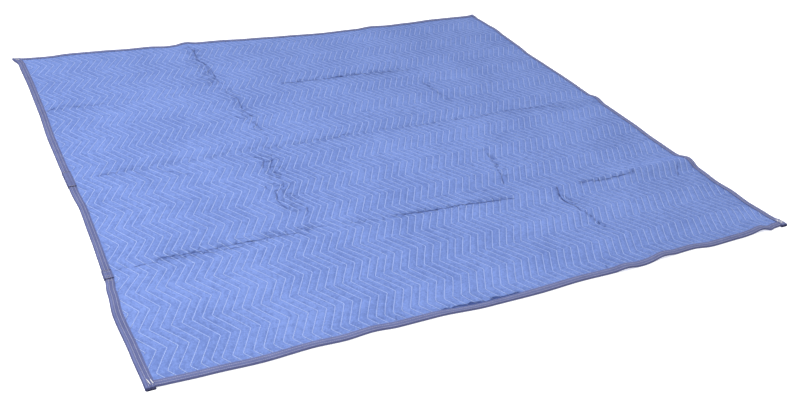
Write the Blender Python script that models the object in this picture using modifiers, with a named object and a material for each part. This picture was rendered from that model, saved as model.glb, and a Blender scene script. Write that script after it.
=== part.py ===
"""Moving blanket, spread out flat with its packing creases.

A panel of two cloths and a thin filling, quilted in zigzags, is bound on its four edges with folded tape.
Metres, +Z up, the floor at Z = 0, the front edge towards -Y and the stitch lines running along Y.
"""

import bmesh
import bpy
import numpy as np

for old in list(bpy.data.objects):
    bpy.data.objects.remove(old, do_unlink=True)

# Overall size, tape to tape
WIDTH = 2.03
LENGTH = 1.83

# Quilting: stitch lines stand side by side along X and swing left and right as they run along Y
PITCH = 0.0254
SWING = 0.0235
LINE_AT = -0.9033
ZIGZAGS = 12
LEFT_TIP = -0.878

# Thickness of the panel on a stitch line, how much more it has between two lines, and the least in a trough
STITCHED = 0.0034
PUFF = 0.0034
THINNEST = 0.0022

# Thickness under the tape, a little less at the tape's inner edge, and how fast the filling swells from there
PRESSED = 0.003
SEAM_DROP = 0.0004
SWELL_RUN = 0.016

# Binding tape, folded over the edge, less of it on top than beneath
TAPE_WIDTH = 0.0254
FRONT_LEG = 0.0195
BACK_LEG = 0.0200
LEFT_LEG = 0.0240
RIGHT_LEG = 0.0190
TAPE = 0.001
CLEAR = 0.0003
LAYER = TAPE + CLEAR

# The front and back lengths end a little inside the side lengths, which run a little past them
TUCK = 0.0042
OVERHANG = 0.0015

# Distances in from the outer edge of the tape
PANEL_IN = 0.0036
SEAM_IN = 0.026
QUILT_IN = 0.0265
RAMP_IN = 0.037
FLAT_IN = 0.045

# How far each edge lies outside its straight line
# Columns: place along the edge, out
FRONT_OUT = [
    (-1.00, -0.002),
    (-0.87, 0.003),
    (-0.74, 0.008),
    (-0.61, 0.003),
    (-0.53, 0.007),
    (-0.45, 0.002),
    (-0.38, 0.008),
    (-0.27, 0.008),
    (-0.12, 0.018),
    (0.03, 0.019),
    (0.20, 0.013),
    (0.30, 0.015),
    (0.41, 0.016),
    (0.50, 0.006),
    (0.62, 0.002),
    (0.69, 0.011),
    (0.81, 0.008),
    (0.92, 0.002),
    (1.00, 0.000),
]
BACK_OUT = [
    (-1.00, -0.002),
    (-0.90, -0.006),
    (-0.82, 0.003),
    (-0.70, 0.001),
    (-0.60, -0.005),
    (-0.52, -0.003),
    (-0.45, -0.014),
    (-0.38, -0.004),
    (-0.25, -0.004),
    (-0.10, -0.014),
    (0.05, -0.021),
    (0.21, -0.028),
    (0.38, -0.020),
    (0.47, -0.005),
    (0.54, -0.011),
    (0.65, -0.005),
    (0.80, 0.008),
    (0.93, 0.010),
    (1.00, 0.011),
]
LEFT_OUT = [
    (-0.90, -0.001),
    (-0.80, 0.002),
    (-0.65, 0.007),
    (-0.56, 0.000),
    (-0.50, -0.007),
    (-0.30, -0.011),
    (-0.17, -0.013),
    (-0.06, -0.007),
    (0.12, -0.003),
    (0.28, -0.001),
    (0.45, -0.005),
    (0.65, -0.005),
    (0.90, 0.002),
]
RIGHT_OUT = [
    (-0.91, 0.006),
    (-0.85, -0.004),
    (-0.77, -0.010),
    (-0.70, -0.005),
    (-0.64, -0.011),
    (-0.56, -0.004),
    (-0.49, 0.000),
    (-0.43, -0.009),
    (-0.32, -0.008),
    (-0.20, 0.000),
    (-0.03, 0.002),
    (0.05, -0.003),
    (0.20, 0.001),
    (0.34, -0.001),
    (0.46, -0.004),
    (0.56, 0.006),
    (0.67, 0.010),
    (0.74, 0.017),
    (0.82, 0.010),
    (0.90, 0.004),
]
WAVE_REACH = 0.28

# Creases left by packing, and places where the cloth lifts
# A height above 0 stands off the floor as a ridge, and below 0 it is a trough pressed into the upper face
# Columns: from x, from y, to x, to y, sideways bow of its middle, height, half width
CREASES = [
    (-0.90, -0.464, -0.38, -0.463, 0.002, -0.0030, 0.020),
    (-0.20, -0.466, 0.28, -0.500, -0.006, -0.0024, 0.018),
    (0.50, -0.500, 0.78, -0.503, 0.000, -0.0036, 0.018),
    (0.62, -0.500, 1.20, -0.494, 0.000, 0.0110, 0.050),
    (-1.05, 0.004, 0.10, 0.012, 0.006, -0.0022, 0.024),
    (0.05, 0.012, 0.82, -0.004, 0.006, -0.0032, 0.024),
    (0.74, 0.008, 1.20, 0.010, 0.000, 0.0080, 0.045),
    (-1.05, 0.468, -0.76, 0.466, 0.000, -0.0030, 0.018),
    (-0.18, 0.466, 0.30, 0.462, 0.003, -0.0032, 0.020),
    (-0.38, 0.48, -0.362, 1.10, 0.004, 0.0050, 0.045),
    (-0.350, 0.10, -0.362, 0.50, 0.004, -0.0028, 0.018),
    (-0.43, -0.44, -0.372, 0.02, 0.010, -0.0034, 0.022),
    (0.415, 0.10, 0.405, 0.40, 0.000, -0.0022, 0.018),
    (0.300, -0.42, 0.335, -0.18, -0.006, -0.0026, 0.018),
    (0.385, -0.48, 0.450, -0.80, -0.012, -0.0038, 0.016),
    (0.350, -1.10, 0.352, -0.72, 0.000, 0.0050, 0.045),
    (0.505, -1.10, 0.502, -0.76, 0.000, 0.0055, 0.050),
    (0.915, -1.10, 0.905, -0.75, 0.000, 0.0050, 0.045),
    (-0.24, -0.850, -0.02, -0.852, 0.000, 0.0030, 0.034),
]

# Lapped tape ends on the left binding
# Columns: name, near end, far end
JOINS = [
    ("tape_join_front", -0.505, -0.467),
    ("tape_join_middle", -0.041, 0.046),
]

# Colours of the cover cloth, the tape, and the tape where it is double
PANEL_COLOUR = (0.235, 0.335, 0.75)
TAPE_COLOUR = (0.20, 0.20, 0.42)
LAP_COLOUR = (0.18, 0.18, 0.38)

HALF_X = WIDTH / 2
HALF_Y = LENGTH / 2
QUILT_X = HALF_X - QUILT_IN
QUILT_Y = HALF_Y - QUILT_IN
ZIGZAG = 2 * QUILT_Y / ZIGZAGS
COLUMN = PITCH / 2

# Rows across the quilting: one at each tip of the zigzags, and more beside the creases that run along X
CREASE_ROWS = [-0.536, -0.487, -0.463, -0.020, 0.040, 0.480]
TIP_ROWS = [LEFT_TIP + ZIGZAG / 2 * k for k in range(2 * ZIGZAGS)]
INNER_ROWS = sorted(TIP_ROWS[1:] + CREASE_ROWS)
ROWS = [-QUILT_Y, TIP_ROWS[0], *INNER_ROWS, QUILT_Y]

# Columns of the front row that are stations too, closer together where an edge lifts
STATION_COLUMNS = [0, 5, 10, 15, 20, 25, 30, 35, 39, 42, 44, 46, 49, 54, 58, 62, 66, 70]
STATION_COLUMNS += [75, 80, 85, 90, 94, 98, 100, 102, 105, 109, 112, 115, 120, 125, 130, 135, 140, 144, 147]

# Stations, by number, that the lower face's coarser grid has too
FLOOR_STATIONS_X = [6, 9, 11, 13, 15, 18, 20, 22, 25, 27, 29, 31, 33, 35, 37, 38, 39]
FLOOR_STATIONS_Y = [3, 6, 7, 9, 11, 16, 17, 18, 19, 20, 24, 28, 31]

# The shortest step from a station to the end of a lapped piece
MIN_STEP = 0.004


def smooth(share):
    """Ease a share from 0 to 1, level at both ends."""
    share = np.clip(share, 0.0, 1.0)
    return share * share * (3.0 - 2.0 * share)


def read_rows(rows, at):
    """Read a table of (place, value) rows at any place, easing from each row to the next."""
    place = np.array([row[0] for row in rows])
    value = np.array([row[1] for row in rows])
    at = np.clip(at, place[0], place[-1])
    i = np.clip(np.searchsorted(place, at, side="right") - 1, 0, len(place) - 2)
    share = smooth((at - place[i]) / (place[i + 1] - place[i]))
    return value[i] + (value[i + 1] - value[i]) * share


def creases(x, y, sign):
    """Add up the ridges (sign 1) or troughs (sign -1), which fade at their ends and sides."""
    total = np.zeros(np.broadcast(x, y).shape)
    for x0, y0, x1, y1, bow, height, half_width in CREASES:
        if height * sign < 0:
            continue
        run = np.hypot(x1 - x0, y1 - y0)
        ux, uy = (x1 - x0) / run, (y1 - y0) / run
        along = ((x - x0) * ux + (y - y0) * uy) / run
        aside = (y - y0) * ux - (x - x0) * uy - bow * 4.0 * along * (1.0 - along)
        ends = smooth(along / 0.3) * smooth((1.0 - along) / 0.3)
        total = total + height * ends * np.clip(1.0 - (aside / half_width) ** 2, 0.0, 1.0) ** 2
    return total


def swing_at(y):
    """How far the stitch lines have swung at y: fully left at a left tip, fully right half a zigzag on."""
    share = ((y - LEFT_TIP) / ZIGZAG) % 1.0
    return SWING * (1.0 - 2.0 * abs(1.0 - 2.0 * share))


# Stations: all the pieces lie and wave as one, straight between these places
FIRST_COLUMN = LINE_AT + swing_at(-QUILT_Y)
ENDS_X = [HALF_X, HALF_X - SEAM_IN, HALF_X - RAMP_IN]
ENDS_Y = [HALF_Y, HALF_Y - SEAM_IN, HALF_Y - RAMP_IN]
XS = np.array([-v for v in ENDS_X] + [FIRST_COLUMN + COLUMN * k for k in STATION_COLUMNS] + ENDS_X[::-1])
YS = np.array([-v for v in ENDS_Y] + INNER_ROWS + ENDS_Y[::-1])
GRID_X, GRID_Y = np.meshgrid(XS, YS, indexing="ij")
FLOOR_X = XS[FLOOR_STATIONS_X]
FLOOR_Y = YS[FLOOR_STATIONS_Y]


def near(distance):
    """Share of an edge's waving that is left at a distance in from it."""
    return np.clip(1.0 - distance / WAVE_REACH, 0.0, 1.0) ** 2


LIFT = creases(GRID_X, GRID_Y, 1)
MOVE_X = read_rows(RIGHT_OUT, GRID_Y) * near(HALF_X - GRID_X)
MOVE_X -= read_rows(LEFT_OUT, GRID_Y) * near(HALF_X + GRID_X)
MOVE_Y = read_rows(BACK_OUT, GRID_X) * near(HALF_Y - GRID_Y)
MOVE_Y -= read_rows(FRONT_OUT, GRID_X) * near(HALF_Y + GRID_Y)

# The waves of opposite edges differ, so the blanket is brought back to the middle
MOVE_X -= (MOVE_X[0].min() + MOVE_X[-1].max()) / 2
MOVE_Y -= (MOVE_Y[:, 0].min() + MOVE_Y[:, -1].max()) / 2


def between_stations(values, x, y):
    """Read a grid of station values at (x, y), straight between the four stations round it."""
    i = np.clip(np.searchsorted(XS, x, side="right") - 1, 0, len(XS) - 2)
    j = np.clip(np.searchsorted(YS, y, side="right") - 1, 0, len(YS) - 2)
    s = np.clip((x - XS[i]) / (XS[i + 1] - XS[i]), 0.0, 1.0)
    t = np.clip((y - YS[j]) / (YS[j + 1] - YS[j]), 0.0, 1.0)
    near_side = values[i, j] * (1.0 - s) + values[i + 1, j] * s
    far_side = values[i, j + 1] * (1.0 - s) + values[i + 1, j + 1] * s
    return near_side * (1.0 - t) + far_side * t


def over_tape(distance):
    """Share of one tape layer's rise at a distance in from an edge: all on the tape, none past the ramp."""
    return np.clip((RAMP_IN - distance) / (RAMP_IN - SEAM_IN), 0.0, 1.0)


def under_panel(x, y):
    """Height of the panel's lower face over the tape layers beneath it."""
    return LAYER * (over_tape(HALF_X - abs(x)) + over_tape(HALF_Y - abs(y)))


def top_of_panel(x, y):
    """Height of the panel's upper face: high between stitch lines, and pressed at the tape and in troughs."""
    phase = ((x - swing_at(y) - LINE_AT) / PITCH) % 1.0
    puffed = STITCHED + PUFF * (1.0 - abs(2.0 * phase - 1.0)) + creases(x, y, -1)
    edge = np.minimum(HALF_X - abs(x), HALF_Y - abs(y))
    swollen = smooth((edge - QUILT_IN) / SWELL_RUN)
    pressed = under_panel(x, y) + PRESSED - SEAM_DROP
    return pressed + (np.maximum(puffed, THINNEST) - pressed) * swollen


def grid_sheet(bm, columns, rows, place):
    """A grid of faces whose points go where place(column, row) says."""
    points = bmesh.ops.create_grid(bm, x_segments=columns - 1, y_segments=rows - 1, size=1.0)["verts"]
    for n, point in enumerate(points):
        point.co = place(n % columns, n // columns)


def finish(bm, name, colour, thickness=0.0):
    """Lay a flat piece on the stations' lifts and waves, and make it an object with its material."""
    bmesh.ops.triangulate(bm, faces=bm.faces[:], quad_method="SHORT_EDGE")
    bmesh.ops.recalc_face_normals(bm, faces=bm.faces[:])
    for v in bm.verts:
        x, y, z = v.co
        v.co.x = x + between_stations(MOVE_X, x, y)
        v.co.y = y + between_stations(MOVE_Y, x, y)
        v.co.z = z + between_stations(LIFT, x, y)
    mesh = bpy.data.meshes.new(name)
    bm.to_mesh(mesh)
    bm.free()
    mesh.shade_smooth()
    material = bpy.data.materials.new(name + "_cloth")
    material.use_nodes = True
    shader = material.node_tree.nodes["Principled BSDF"]
    shader.inputs["Base Color"].default_value = (*colour, 1.0)
    shader.inputs["Roughness"].default_value = 0.9
    mesh.materials.append(material)
    piece = bpy.data.objects.new(name, mesh)
    collection.objects.link(piece)
    if thickness:
        solid = piece.modifiers.new("Thickness", "SOLIDIFY")
        solid.thickness = thickness
        solid.offset = -1.0
        solid.use_even_offset = True


def zip_chains(bm, first, second):
    """Fill between two chains of (place, point) that run the same way, a triangle at a time."""
    i = j = 0
    while i < len(first) - 1 or j < len(second) - 1:
        step_first = j == len(second) - 1 or (i < len(first) - 1 and first[i + 1][0] <= second[j + 1][0])
        if step_first:
            bm.faces.new((first[i][1], first[i + 1][1], second[j][1]))
            i += 1
        else:
            bm.faces.new((first[i][1], second[j + 1][1], second[j][1]))
            j += 1


def inside(places, limit):
    """The places nearer the middle than a limit, between the two places at it."""
    return [-limit, *[float(p) for p in places if abs(p) < limit - 1e-6], limit]


def ring(bm, inset, height, xs, ys):
    """Points round the panel at an inset, as four chains that share their corners."""
    end_x, end_y = HALF_X - inset, HALF_Y - inset
    corners = {}

    def point(x, y):
        if abs(x) < end_x or abs(y) < end_y:
            return bm.verts.new((x, y, height(x, y)))
        if (x, y) not in corners:
            corners[x, y] = bm.verts.new((x, y, height(x, y)))
        return corners[x, y]

    along_x, along_y = inside(xs, end_x), inside(ys, end_y)
    front, back = ([(x, point(x, y)) for x in along_x] for y in (-end_y, end_y))
    left, right = ([(y, point(x, y)) for y in along_y] for x in (-end_x, end_x))
    return front, right, back, left


def cut_edge(bm, axis, value):
    """The chain of points where the quilting was cut at a value on an axis."""
    found = [v for v in bm.verts if abs(v.co[axis] - value) < 1e-5]
    return sorted(((v.co[1 - axis], v) for v in found), key=lambda pair: pair[0])


def quilted_panel():
    """Two cloths and their filling: zigzag upper face, edges pressed thin, lower face flat on the floor."""
    bm = bmesh.new()
    reach = int((QUILT_X + SWING) / COLUMN) + 2
    first = LINE_AT + COLUMN * (round(-LINE_AT / COLUMN) - reach)
    swings = [swing_at(y) for y in ROWS]
    grid_sheet(bm, 2 * reach + 1, len(ROWS), lambda i, j: (first + COLUMN * i + swings[j], ROWS[j], 0.0))
    for side in (-1, 1):
        everything = bm.verts[:] + bm.edges[:] + bm.faces[:]
        cut = {"plane_co": (side * QUILT_X, 0, 0), "plane_no": (side, 0, 0), "clear_outer": True}
        bmesh.ops.bisect_plane(bm, geom=everything, dist=1e-6, **cut)
    for v in bm.verts:
        v.co.z = top_of_panel(v.co.x, v.co.y)
    sides = ((1, -QUILT_Y), (0, QUILT_X), (1, QUILT_Y), (0, -QUILT_X))
    quilt = [cut_edge(bm, axis, value) for axis, value in sides]
    upper = ring(bm, PANEL_IN, lambda x, y: under_panel(x, y) + PRESSED, XS, YS)
    lower = ring(bm, PANEL_IN, under_panel, XS, YS)
    seam = ring(bm, SEAM_IN, under_panel, XS, YS)
    floor = ring(bm, FLAT_IN, lambda x, y: 0.0, FLOOR_X, FLOOR_Y)
    for inner, outer in ((quilt, upper), (upper, lower), (lower, seam), (seam, floor)):
        for one, two in zip(inner, outer):
            zip_chains(bm, one, two)
    flat_x, flat_y = inside(FLOOR_X, HALF_X - FLAT_IN), inside(FLOOR_Y, HALF_Y - FLAT_IN)
    grid_sheet(bm, len(flat_x), len(flat_y), lambda i, j: (flat_x[i], flat_y[j], 0.0))
    bmesh.ops.remove_doubles(bm, verts=bm.verts[:], dist=1e-6)
    finish(bm, "quilted_panel", PANEL_COLOUR)


def folded_tape(leg, low, high):
    """Outer side of tape folded over the edge, as (in, z) points: lower leg, fold, upper leg of a width."""
    top = high + TAPE
    return [
        (TAPE_WIDTH, low),
        (0.0026, low),
        (0.0008, low + 0.0009),
        (0.0, (low + top) / 2),
        (0.0008, top - 0.0009),
        (0.0026, top),
        (leg, top),
    ]


def lapped_tape(low, high):
    """Outer side of a tape end lapped over the folded tape, one layer further out, from the floor up."""
    top = high + TAPE + LAYER
    return [
        (0.0002 - LAYER, low + 0.0004),
        (-LAYER, (low + high + TAPE) / 2),
        (0.0006 - LAYER, top - 0.0012),
        (0.0026 - LAYER, top),
        (LEFT_LEG - 0.0004, top),
    ]


def tape_length(name, sections, place, colour):
    """Tape through its sections, where place(number, in, z) says."""
    bm = bmesh.new()
    grid_sheet(bm, len(sections[0]), len(sections), lambda i, j: place(j, *sections[j][i]))
    finish(bm, name, colour, TAPE)


def across_levels(x):
    """Undersides of the front and back lengths' two legs, which rise by a layer inside the side lengths."""
    low = LAYER * over_tape(HALF_X - abs(x))
    return low, low + LAYER + PRESSED + CLEAR


def side_levels(y):
    """Undersides of the side lengths' two legs, which swell over the ends of the front and back lengths."""
    return 0.0, LAYER + PRESSED + CLEAR + 2 * LAYER * over_tape(HALF_Y - abs(y))


def across_edge(sign):
    """Front (sign -1) or back (sign 1) length."""
    name, leg = ("binding_front", FRONT_LEG) if sign < 0 else ("binding_back", BACK_LEG)
    places = inside(XS[1:-1], HALF_X - TUCK)
    sections = [folded_tape(leg, *across_levels(x)) for x in places]
    tape_length(name, sections, lambda j, d, z: (places[j], sign * (HALF_Y - d), z), TAPE_COLOUR)


def side_edge(sign):
    """Left (sign -1) or right (sign 1) length, a little longer than the panel."""
    name, leg = ("binding_left", LEFT_LEG) if sign < 0 else ("binding_right", RIGHT_LEG)
    places = inside(YS[1:-1], HALF_Y + OVERHANG)
    sections = [folded_tape(leg, *side_levels(y)) for y in places]
    tape_length(name, sections, lambda j, d, z: (sign * (HALF_X - d), places[j], z), TAPE_COLOUR)


def tape_join(name, start, stop):
    """Tape end lapped over the left binding from one place to another."""
    places = [start, *[float(y) for y in YS if start + MIN_STEP < y < stop - MIN_STEP], stop]
    sections = [lapped_tape(*side_levels(y)) for y in places]
    tape_length(name, sections, lambda j, d, z: (d - HALF_X, places[j], z), LAP_COLOUR)


collection = bpy.data.collections.new("moving_blanket")
bpy.context.scene.collection.children.link(collection)

quilted_panel()
for side in (-1, 1):
    across_edge(side)
    side_edge(side)
for join_name, join_start, join_stop in JOINS:
    tape_join(join_name, join_start, join_stop)
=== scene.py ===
"""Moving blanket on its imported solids: quilted cloth, quilting thread, bound edges and their sewing."""

import bmesh
import bpy
import numpy as np
from mathutils import Matrix


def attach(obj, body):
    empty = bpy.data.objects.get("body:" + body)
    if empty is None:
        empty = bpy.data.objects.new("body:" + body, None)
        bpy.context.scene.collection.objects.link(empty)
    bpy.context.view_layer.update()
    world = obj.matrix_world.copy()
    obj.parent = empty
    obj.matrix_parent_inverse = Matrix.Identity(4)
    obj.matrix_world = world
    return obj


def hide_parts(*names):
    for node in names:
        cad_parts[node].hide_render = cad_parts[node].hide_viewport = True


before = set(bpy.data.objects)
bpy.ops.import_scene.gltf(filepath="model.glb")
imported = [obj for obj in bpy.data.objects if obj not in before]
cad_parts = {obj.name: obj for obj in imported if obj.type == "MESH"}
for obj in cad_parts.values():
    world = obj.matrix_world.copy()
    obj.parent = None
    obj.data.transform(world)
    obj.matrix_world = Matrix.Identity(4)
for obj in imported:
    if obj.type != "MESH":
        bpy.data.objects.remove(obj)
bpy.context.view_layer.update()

# Camera
# It stands in front of the left front corner at a person's height and looks down across the blanket.
# The photograph was trimmed on its left, so the frame sits a little to the right of the lens's axis.
CAMERA_AT = (-1.3326, -2.3074, 1.4101)
YAW, PITCH_DOWN, ROLL = np.radians((29.757, 32.243, 6.351))

ahead = np.array((np.sin(YAW) * np.cos(PITCH_DOWN), np.cos(YAW) * np.cos(PITCH_DOWN), -np.sin(PITCH_DOWN)))
level = np.array((np.cos(YAW), -np.sin(YAW), 0.0))
upright = np.cross(level, ahead)
right = np.cos(ROLL) * level + np.sin(ROLL) * upright
up = np.cos(ROLL) * upright - np.sin(ROLL) * level

lens = bpy.data.cameras.new("camera")
lens.lens = 39.37
lens.sensor_width = 36.0
lens.shift_x = 0.05
camera = bpy.data.objects.new("camera", lens)
camera.matrix_world = Matrix([(*row, at) for row, at in zip(np.stack((right, up, -ahead), 1), CAMERA_AT)]
                             + [(0.0, 0.0, 0.0, 1.0)])
bpy.context.scene.collection.objects.link(camera)
bpy.context.scene.camera = camera


# Floor and light
# A white floor in a white room, with soft daylight from behind the blanket
# and a lamp high over its left side.
FLOOR_SIZE = 24.0


def lamp(name, at, towards, size, watts):
    """A square lamp that faces a point: its own -Z runs from the one to the other."""
    light = bpy.data.lights.new(name, "AREA")
    light.shape = "SQUARE"
    light.size = size
    light.energy = watts
    holder = bpy.data.objects.new(name, light)
    aim = np.subtract(towards, at)
    aim = aim / np.linalg.norm(aim)
    across = np.cross(aim, (0.0, 0.0, 1.0))
    across /= np.linalg.norm(across)
    axes = np.stack((across, np.cross(across, aim), -aim), 1)
    holder.matrix_world = Matrix([(*row, place) for row, place in zip(axes, at)] + [(0.0, 0.0, 0.0, 1.0)])
    bpy.context.scene.collection.objects.link(holder)


lamp("left_lamp", (-2.2, -0.4, 3.2), (-0.6, -0.2, 0.0), 2.0, 90.0)

daylight = bpy.data.lights.new("daylight", "SUN")
daylight.energy = 1.95
daylight.angle = np.radians(30.0)
window = bpy.data.objects.new("daylight", daylight)
window.rotation_euler = (np.radians(-42.0), 0.0, np.radians(-42.0))
bpy.context.scene.collection.objects.link(window)

bpy.context.scene.view_settings.view_transform = "Standard"
room = bpy.data.worlds.new("room")
room.use_nodes = True
room.node_tree.nodes["Background"].inputs["Color"].default_value = (1.0, 1.0, 1.0, 1.0)
room.node_tree.nodes["Background"].inputs["Strength"].default_value = 0.33
bpy.context.scene.world = room

floor_mesh = bpy.data.meshes.new("floor")
floor_ends = np.array([(-1, -1, 0), (1, -1, 0), (1, 1, 0), (-1, 1, 0)]) * FLOOR_SIZE / 2
floor_mesh.from_pydata(floor_ends.tolist(), [], [(0, 1, 2, 3)])
floor = bpy.data.objects.new("floor", floor_mesh)
bpy.context.scene.collection.objects.link(floor)
floor_paint = bpy.data.materials.new("white_floor")
floor_paint.use_nodes = True
floor_shader = floor_paint.node_tree.nodes["Principled BSDF"]
floor_shader.inputs["Base Color"].default_value = (0.94, 0.94, 0.94, 1.0)
floor_shader.inputs["Roughness"].default_value = 0.8
floor_shader.inputs["Emission Color"].default_value = (1.0, 1.0, 1.0, 1.0)
floor_shader.inputs["Emission Strength"].default_value = 0.6
floor_mesh.materials.append(floor_paint)


# Quilted panel
# Two blue cover cloths with a thin filling between them, sewn together in upright zigzags an inch apart.
# It lies flat, but its cut edges wave, a few places stand off the floor, and packing has left sharp creases.
HALF_X, HALF_Y = 1.015, 0.915

# Stitch lines and their zigzags
PITCH = 0.0254
SWING = 0.0235
LINE_AT = -0.9033
ZIGZAG = 0.14808
LEFT_TIP = -0.878
TIP_ROUND = 0.014

# Heights of the cloth over the floor, and depths of what is pressed into it
STITCHED = 0.0034
PUFF = 0.0034
THINNEST = 0.0022
PRESSED = 0.0026
LAYER = 0.0013
DIMPLE = 0.0009
LUMP = 0.0003
CRUSH_DEPTH = 0.0014
PUCKER_DEPTH = 0.0028
FOLD_DEPTH = 0.0013

# Distances in from an edge, and the run over which the cloth swells beside the tape
PANEL_IN = 0.0036
SEAM_IN = 0.026
RAMP_IN = 0.037
SWELL_RUN = 0.016

# Ends of creases and folds, as shares of their length
CREASE_END = 0.12
FOLD_END = 0.16
FOLD_BLUNT = 0.3

# How far a crease wanders and a fold reaches to the side
CREASE_WANDER = 0.004
FOLD_REACH = 0.008

# Distances aside from a fold, in its own half widths
FOLD_SPREAD = 1.6
FAR_OFF = 9.0

# Width of the tape that lies on top, which was folded unevenly
# Columns: place along the edge, width
FRONT_LEG = [
    (-0.95, 0.0195),
    (-0.28, 0.0190),
    (-0.20, 0.0150),
    (-0.06, 0.0155),
    (0.05, 0.0190),
    (0.90, 0.0195),
]
BACK_LEG = [(-0.95, 0.0175), (-0.50, 0.0180), (0.00, 0.0215), (0.50, 0.0205), (0.95, 0.0195)]
LEFT_LEG = [(-0.90, 0.0245), (-0.40, 0.0235), (0.90, 0.0240)]
RIGHT_LEG = [(-0.90, 0.0225), (-0.40, 0.0230), (-0.10, 0.0200), (0.15, 0.0160), (0.90, 0.0155)]

# How far each edge lies outside its straight line
# Columns: place along the edge, out
FRONT_OUT = [
    (-1.00, -0.002),
    (-0.87, 0.003),
    (-0.74, 0.008),
    (-0.61, 0.003),
    (-0.53, 0.007),
    (-0.45, 0.002),
    (-0.38, 0.008),
    (-0.27, 0.008),
    (-0.12, 0.018),
    (0.03, 0.019),
    (0.20, 0.013),
    (0.30, 0.015),
    (0.41, 0.016),
    (0.50, 0.006),
    (0.62, 0.002),
    (0.69, 0.011),
    (0.81, 0.008),
    (0.915, 0.001),
    (0.940, 0.008),
    (0.965, 0.002),
    (1.00, 0.000),
]
BACK_OUT = [
    (-1.00, -0.002),
    (-0.90, -0.006),
    (-0.82, 0.003),
    (-0.70, 0.001),
    (-0.60, -0.005),
    (-0.52, -0.003),
    (-0.45, -0.014),
    (-0.38, -0.004),
    (-0.25, -0.004),
    (-0.10, -0.014),
    (0.05, -0.021),
    (0.21, -0.028),
    (0.38, -0.020),
    (0.47, -0.005),
    (0.54, -0.011),
    (0.65, -0.005),
    (0.80, 0.008),
    (0.93, 0.010),
    (1.00, 0.011),
]
LEFT_OUT = [
    (-0.90, -0.001),
    (-0.80, 0.002),
    (-0.65, 0.007),
    (-0.56, 0.000),
    (-0.50, -0.007),
    (-0.30, -0.011),
    (-0.17, -0.013),
    (-0.06, -0.007),
    (0.12, -0.003),
    (0.28, -0.001),
    (0.45, -0.005),
    (0.65, -0.005),
    (0.86, -0.001),
    (0.92, 0.014),
]
RIGHT_OUT = [
    (-0.91, 0.006),
    (-0.85, -0.004),
    (-0.77, -0.010),
    (-0.70, -0.005),
    (-0.64, -0.011),
    (-0.56, -0.004),
    (-0.49, 0.000),
    (-0.43, -0.009),
    (-0.32, -0.008),
    (-0.20, 0.000),
    (-0.03, 0.002),
    (0.05, -0.003),
    (0.20, 0.001),
    (0.34, -0.001),
    (0.46, -0.004),
    (0.56, 0.006),
    (0.67, 0.010),
    (0.74, 0.017),
    (0.82, 0.010),
    (0.90, 0.004),
]
WAVE_REACH = 0.28
TO_MIDDLE_X, TO_MIDDLE_Y = -0.0048, 0.0040

# Places where the cloth stands off the floor
# Columns: from x, from y, to x, to y, sideways bow of its middle, height, half width
RIDGES = [
    (0.62, -0.500, 1.20, -0.494, 0.000, 0.0110, 0.050),
    (0.74, 0.008, 1.20, 0.010, 0.000, 0.0080, 0.045),
    (-0.38, 0.48, -0.362, 1.10, 0.004, 0.0050, 0.045),
    (0.350, -1.10, 0.352, -0.72, 0.000, 0.0050, 0.045),
    (0.505, -1.10, 0.502, -0.76, 0.000, 0.0055, 0.050),
    (0.915, -1.10, 0.905, -0.75, 0.000, 0.0050, 0.045),
    (-0.24, -0.850, -0.02, -0.852, 0.000, 0.0030, 0.034),
]
RIDGE_END = 0.3

# Packing creases, which crush the quilting and pucker it
# Columns: from x, from y, to x, to y, sideways bow, crush of the puffs, half width of the line, pucker reach
CREASES = [
    (-0.92, -0.464, -0.36, -0.463, 0.002, 0.75, 0.006, 0.030),
    (-0.36, -0.463, 0.28, -0.500, -0.006, 0.75, 0.006, 0.022),
    (0.50, -0.500, 0.78, -0.503, 0.000, 0.90, 0.005, 0.012),
    (-1.00, 0.004, 0.10, 0.012, 0.006, 0.60, 0.007, 0.035),
    (0.05, 0.012, 0.90, -0.004, 0.006, 0.60, 0.006, 0.024),
    (-1.00, 0.468, -0.76, 0.466, 0.000, 0.60, 0.006, 0.024),
    (-0.76, 0.466, -0.20, 0.466, 0.000, 0.35, 0.006, 0.025),
    (-0.20, 0.462, 0.45, 0.448, 0.003, 0.85, 0.006, 0.030),
    (-0.385, 0.47, -0.362, 0.89, 0.004, 0.75, 0.006, 0.055),
    (-0.340, 0.10, -0.350, 0.50, 0.004, 0.65, 0.006, 0.040),
    (-0.42, -0.40, -0.372, 0.02, 0.010, 0.80, 0.007, 0.050),
    (0.415, 0.10, 0.405, 0.40, 0.000, 0.60, 0.005, 0.018),
    (0.300, -0.42, 0.335, -0.18, -0.006, 0.75, 0.005, 0.022),
    (0.415, -0.48, 0.429, -0.76, 0.004, 0.90, 0.005, 0.012),
]

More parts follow.
